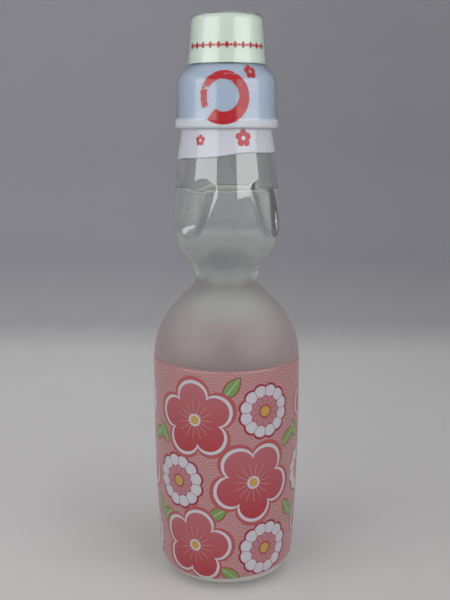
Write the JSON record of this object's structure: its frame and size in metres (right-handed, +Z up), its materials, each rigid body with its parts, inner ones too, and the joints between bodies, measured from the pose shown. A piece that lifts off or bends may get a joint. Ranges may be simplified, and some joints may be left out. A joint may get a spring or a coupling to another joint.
{
  "type": "marble stopper bottle",
  "caption": "Round glass soda bottle with a pinched neck, closed from inside by a glass marble against a rubber ring, with a press-on mouth, a push opener and shrink films.",
  "frame": {"origin": "centre of the ring that the bottle stands on", "axes": "+Z up along the bottle's axis, -Y towards the picture's viewer, +X to the viewer's right"},
  "size_m": [0.06, 0.0598, 0.2251],
  "materials": {
    "clear_glass": "clear moulded glass with a faint green cast",
    "cap_plastic": "light blue moulded plastic",
    "seal_rubber": "soft dark rubber",
    "marble_glass": "clear glass ball with a faint aqua cast",
    "opener_plastic": "mint moulded plastic",
    "shrink_film": "glossy printed shrink film",
    "label_film": "glossy printed shrink label"
  },
  "bodies": {
    "bottle": {"bottle_glass": "clear_glass", "mouth_cap": "cap_plastic", "seal_ring": "seal_rubber", "body_label": "label_film"},
    "opener": {"opener_ring": "opener_plastic"},
    "plunger": {"plunger": "opener_plastic"},
    "marble": {"marble": "marble_glass"},
    "film": {"cap_film": "shrink_film"}
  },
  "joints": [
    {"name": "opener_lift", "type": "slide", "parent": "bottle", "child": "opener", "axis": [0, 0, 1], "range_m": [0, 0.025]},
    {"name": "plunger_press", "type": "slide", "parent": "opener", "child": "plunger", "axis": [0, 0, -1], "range_m": [0, 0.0125]},
    {"name": "marble_drop", "type": "slide", "parent": "bottle", "child": "marble", "axis": [0, 0, -1], "range_m": [0, 0.0629]},
    {"name": "film_lift", "type": "slide", "parent": "bottle", "child": "film", "axis": [0, 0, 1], "range_m": [0, 0.08], "deforming": ["cap_film"]}
  ],
  "couplings": [
    {"joint": "marble_drop", "follows": "plunger_press", "ratio": 5.03},
    {"joint": "film_lift", "follows": "opener_lift", "ratio": 3.2}
  ]
}
